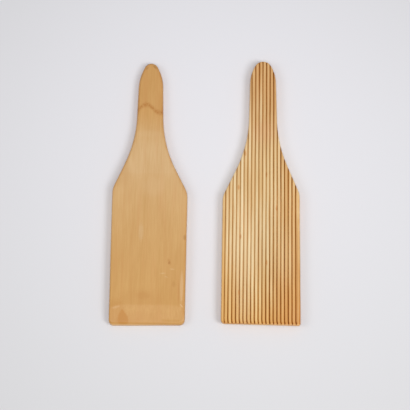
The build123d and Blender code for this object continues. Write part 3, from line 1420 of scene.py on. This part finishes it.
@dataclass(frozen=True)
class Studio:
    """The room's even light, and its softboxes."""

    room_share: float = 0.34
    room_colour: Colour = paint(236, 236, 238)
    softboxes: tuple[Softbox, ...] = (
        Softbox(
            "key_softbox", azimuth=328.0, elevation=51.0, distance=1.6, width=0.5, depth=0.7, share=0.285
        ),
        Softbox(
            "fill_softbox", azimuth=195.0, elevation=48.0, distance=1.7, width=0.7, depth=0.7, share=0.1
        ),
        Softbox(
            "front_softbox", azimuth=270.0, elevation=69.0, distance=1.8, width=0.5, depth=0.8, share=0.29
        ),
    )

    def build(self) -> None:
        """Makes the world and the lamps."""
        world = bpy.data.worlds.new("room")
        bpy.context.scene.world = world
        world.use_nodes = True
        world.node_tree.nodes.clear()
        graph = Graph(world.node_tree)
        path = graph.add("ShaderNodeLightPath")
        even = graph.add("ShaderNodeBackground", {"Color": WHITE, "Strength": self.room_share})
        seen = graph.add("ShaderNodeBackground", {"Color": self.room_colour, "Strength": 1.0})
        rooms = {0: path.outputs["Is Camera Ray"], 1: even.outputs[0], 2: seen.outputs[0]}
        mixed = graph.add("ShaderNodeMixShader", rooms)
        graph.add("ShaderNodeOutputWorld", {"Surface": mixed.outputs[0]})
        for softbox in self.softboxes:
            softbox.build()


@dataclass(frozen=True)
class PhotoCamera:
    """The photograph's camera: over the tips' side of the table, tilted towards the handles."""

    focal_pixels: float = 1500.0
    picture_pixels: float = 410.0
    sensor_width: float = 36.0
    tilt: float = 17.09  # degrees from straight down
    turn: float = 0.77  # degrees anticlockwise, seen from above
    distance: float = 1.2989  # metres, to the point that it is aimed at
    aim: tuple[float, float, float] = (-0.863 * MM, -14.379 * MM, 9.0 * MM)
    sees_to: float = 100.0  # metres

    def build(self) -> bpy.types.Object:
        """Makes the camera and films through it.

        Returns:
            The camera.
        """
        data = bpy.data.cameras.new("photo_camera")
        data.sensor_width = self.sensor_width
        data.lens = self.sensor_width * self.focal_pixels / self.picture_pixels
        data.clip_end = self.sees_to
        camera = bpy.data.objects.new("photo_camera", data)
        turned = Matrix.Rotation(math.radians(self.turn), 4, "Z")
        tilted = Matrix.Rotation(math.radians(self.tilt), 4, "X")
        back = Matrix.Translation((0, 0, self.distance))
        camera.matrix_world = Matrix.Translation(self.aim) @ turned @ tilted @ back
        bpy.context.scene.collection.objects.link(camera)
        bpy.context.scene.camera = camera
        return camera


SMOOTH_WOOD = WoodFinish(
    name="smooth_up_wood",
    pale=paint(225, 188, 138),
    deep=paint(203, 158, 99),
    warm=paint(217, 170, 120),
    film=paint(238, 224, 200),
    grime=paint(146, 84, 26),
    oiled=paint(236, 206, 160),
    # painted sheen: darker towards the tip and over the handle, which leaves the neck palest
    ripening_and_sheen=RipeningAndSheen(tip_ripening_and_sheen_tint=paint(243, 226, 183), handle_ripening_and_sheen_tint=paint(249, 235, 204)),
    pith=(-30.0, 0.0, 60.0),
    ring_share=0.10,
    lit_end_face_share=0.35,
    lines=(FigureLine((4.9, 198.8), 3.9, 11.8, 3.6, paint(174, 104, 0), 0.6, 0.06),),
    marks=(
        Mark((6.7, 81.0), (3.0, 10.5), paint(221, 188, 144), 0.3),  # pale streak
        Mark((-31.0, 76.6), (1.6, 3.6), paint(166, 108, 50), 0.5),  # dark nick in the edge
        Mark((-32.0, 60.0), (1.4, 70.0), paint(204, 140, 66), 0.3),  # oil along the edge
        Mark((-18.1, 54.8), (1.9, 4.2), paint(178, 112, 44), 0.3, turn=20.0),
        Mark((-18.1, 53.9), (1.1, 1.7), paint(150, 88, 30), 0.35),  # spot, with the paler stain round it
        Mark((-12.8, 44.6), (3.2, 0.7), paint(226, 190, 140), 0.45, turn=4.0),
        Mark((-20.8, 48.3), (2.8, 0.7), paint(226, 190, 140), 0.45, turn=-4.0),
        Mark((-15.8, 41.5), (2.4, 0.6), paint(222, 186, 136), 0.4, turn=-20.0),
        Mark((-22.4, 35.1), (2.0, 4.0), paint(180, 126, 62), 0.3),
        Mark((-29.0, 32.5), (1.7, 17.5), paint(226, 188, 144), 0.42, even=0.5),  # painted highlight along the facet's crease
        # painted highlight at the facet's corner by the bevel
        Mark((-29.3, 16.3), (0.8, 2.9), paint(230, 194, 152), 0.45, turn=43.0),
        Mark((3.6, 24.9), (8.0, 5.0), paint(192, 134, 68), 0.3),  # smudge
        Mark((6.0, 21.5), (28.0, 12.0), paint(194, 138, 74), 0.24),  # shade on the bevel's line
        Mark((27.0, 8.0), (12.0, 17.0), paint(190, 130, 56), 0.34, even=0.5, ragged=0.4),
        Mark((26.2, 14.6), (4.6, 1.3), paint(224, 184, 134), 0.3, turn=18.0),  # rubbed end of that line
        Mark((-26.7, 28.0), (1.1, 15.0), paint(184, 122, 56), 0.3),  # darker line beside the facet's crease
        Mark((6.0, 1.0), (34.0, 14.0), paint(198, 142, 76), 0.4, even=0.5),  # oil soaked into the bevel
        Mark(  # wedge-shaped stain
            (20.3, 5.0), (5.4, 8.8), paint(192, 128, 46), 0.7, turn=7.0, taper=0.5, even=0.7, ragged=0.3
        ),
        Mark((1.5, 171.0), (16.0, 4.5), paint(228, 194, 150), 0.12),  # painted highlight across the neck, on the fold where the handle's relief starts
        Mark((24.0, 134.0), (10.0, 17.0), paint(196, 146, 86), 0.25),  # darker side of the neck
        Mark((-3.0, 122.0), (13.0, 12.0), paint(226, 190, 144), 0.2),
        Mark((-1.6, 234.8), (1.3, 3.4), paint(150, 104, 56), 0.5, turn=41.0),  # bruises in the handle's end
        Mark((5.2, 233.2), (1.2, 2.8), paint(164, 120, 78), 0.45, turn=-40.0),
    ),
)
RIDGED_WOOD = WoodFinish(
    name="ridged_up_wood",
    pale=paint(250, 233, 193),
    deep=paint(226, 190, 136),
    warm=paint(238, 203, 155),
    film=paint(242, 215, 150),
    grime=paint(162, 93, 6),
    oiled=paint(238, 206, 150),
    # the wood's tone and painted sheen: darker to the right, towards the tip and over the handle
    ripening_and_sheen=RipeningAndSheen(
        tip_ripening_and_sheen_tint=paint(245, 220, 178),
        handle_ripening_and_sheen_tint=paint(238, 214, 188),
        side_ripening_and_sheen_tint=paint(246, 228, 206),
        tip_reach=72.0,
        tip_power=1.3,
        neck=140.0,
        grip=235.0,
        side_start=0.0,
        side_end=30.0,
    ),
    pith=(24.0, 0.0, -55.0),
    streak_pitch=3.3,
    streak_share=0.85,
    cloud_share=0.17,
    film_share=0.65,
    grime_share=0.28,
    ripe_grime_share=0.92,
    edge_share=0.8,
    handle_edge_share=0.0,
    lit_end_face_share=0.4,
    gloss=0.3,
    marks=(
        # paler left side of the crowns: partly the wood's tone, partly painted sheen
        Mark.on_ridges((-14.0, 64.0), (15.0, 74.0), paint(250, 232, 192), 0.28),
        Mark.on_ridges((-7.3, 60.0), (3.0, 38.0), paint(228, 190, 134), 0.25),
        Mark.on_ridges((-16.3, 130.0), (2.5, 22.0), paint(228, 190, 134), 0.35),
        Mark.on_ridges((20.0, 62.0), (14.0, 38.0), paint(246, 220, 172), 0.2),
        Mark.on_ridges((-14.0, 14.0), (9.0, 26.0), paint(246, 220, 176), 0.12),
        Mark.on_ridges((4.5, 76.0), (15.5, 74.0), paint(213, 184, 135), 0.2),
        Mark.on_ridges((2.0, 172.0), (14.0, 18.0), paint(230, 170, 127), 0.3),
        Mark((28.0, 8.0), (9.0, 18.0), paint(226, 183, 133), 0.3, even=0.2, height=9.4, reach=1.0),
        Mark.in_grooves((-17.0, 92.0), (13.0, 34.0), paint(238, 184, 116), 0.5),
        Mark.in_grooves((-27.0, 102.0), (7.0, 24.0), paint(236, 196, 140), 0.5),
        Mark.in_grooves((-26.0, 58.0), (7.0, 17.0), paint(184, 110, 10), 0.35),
        Mark.in_grooves((-14.0, 28.0), (7.0, 34.0), paint(198, 133, 18), 0.5),
        Mark.in_grooves((1.5, 64.0), (9.0, 32.0), paint(178, 103, 0), 0.75),
        Mark.in_grooves((25.5, 50.0), (7.0, 22.0), paint(168, 111, 25), 0.35),
        Mark.in_grooves((14.5, 104.0), (7.0, 30.0), paint(236, 192, 136), 0.7),
        Mark.in_grooves((26.0, 104.0), (7.0, 26.0), paint(222, 178, 128), 0.45),
        Mark.in_grooves((-25.0, 28.0), (9.0, 28.0), paint(204, 152, 84), 0.4),
        Mark.in_grooves((1.0, 157.0), (14.0, 32.0), paint(156, 92, 36), 0.5),
        Mark.in_grooves((11.6, 196.0), (2.0, 40.0), paint(226, 178, 124), 0.55),
        Mark((-33.5, 58.0), (6.0, 80.0), paint(224, 172, 92), 0.35, height=CROWNS, even=0.3, ragged=0.3),
        # painted shade along the blade's right wall
        Mark((34.2, 42.0), (1.7, 78.0), paint(150, 122, 82), 0.65, height=6.0, even=0.5, ragged=0.3),
        Mark((32.1, 24.0), (0.8, 34.0), paint(232, 188, 128), 0.4, height=CROWNS, even=0.4, ragged=0.3),
        Mark((30.9, 56.0), (0.9, 62.0), paint(180, 118, 50), 0.35, height=CROWNS, even=0.4, ragged=0.3),
        Mark((2.0, 138.0), (17.0, 52.0), paint(228, 190, 128), 0.3, height=CROWNS, even=0.2),
        Mark((-29.0, 24.0), (8.0, 44.0), paint(222, 172, 96), 0.25, height=CROWNS, even=0.2),
    )
    + tuple(
        Mark(place, (1.1, 3.2), paint(206, 136, 62), 0.6, height=CROWNS)  # small oily patches on the ridges
        for place in (
            (-13.8, 152.6),
            (4.6, 133.5),
            (-19.7, 121.3),
            (13.3, 102.7),
            (-17.7, 77.0),
            (4.7, 54.2),
            (-18.7, 27.5),
        )
    ),
)

PADDLES = (
    Paddle(
        name="ridged_side_up_board",
        node="ridged_side_up_paddle",
        slot="ridged_up_wood",
        lying=Lying.RIDGES_UP,
        outline=Outline(
            length=239.6,
            tip_width=67.4,
            shoulder_width=66.7,
            left_shoulder=113.2,
            right_shoulder=116.4,
            left_neck=160.6,
            right_neck=162.4,
            neck_radius=120.0,
            handle_width=22.9,
            end_length=20.8,
            end_radius=7.9,
            left_corner=3.0,
            right_corner=1.6,
        ),
        finish=RIDGED_WOOD,
        seed=11.3,
        edge_groove=EdgeGroove(),
    ),
    Paddle(
        name="smooth_side_up_board",
        node="smooth_side_up_paddle",
        slot="smooth_up_wood",
        lying=Lying.RIDGES_DOWN,
        outline=Outline(
            length=238.8,
            tip_width=64.2,
            shoulder_width=65.1,
            left_shoulder=117.3,
            right_shoulder=120.2,
            left_neck=161.2,
            right_neck=164.9,
            neck_radius=120.0,
            handle_width=21.6,
            end_length=23.2,
            end_radius=6.1,
            left_corner=4.3,
            right_corner=3.4,
        ),
        finish=SMOOTH_WOOD,
        seed=47.9,
        facet=Facet(),
    ),
)


def main() -> None:
    """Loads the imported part, dresses it and sets the studio round it."""
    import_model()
    bpy.context.scene.view_settings.view_transform = "Standard"
    PhotoCamera().build()
    Studio().build()
    Table().build()
    effects = WoodEffects()
    for paddle in PADDLES:
        piece = paddle.build(effects)
        log.info("%s: %d faces, %s", piece.name, len(piece.data.polygons), paddle.lying.value)


if __name__ == "__main__":
    logging.basicConfig(level=logging.INFO)
    main()
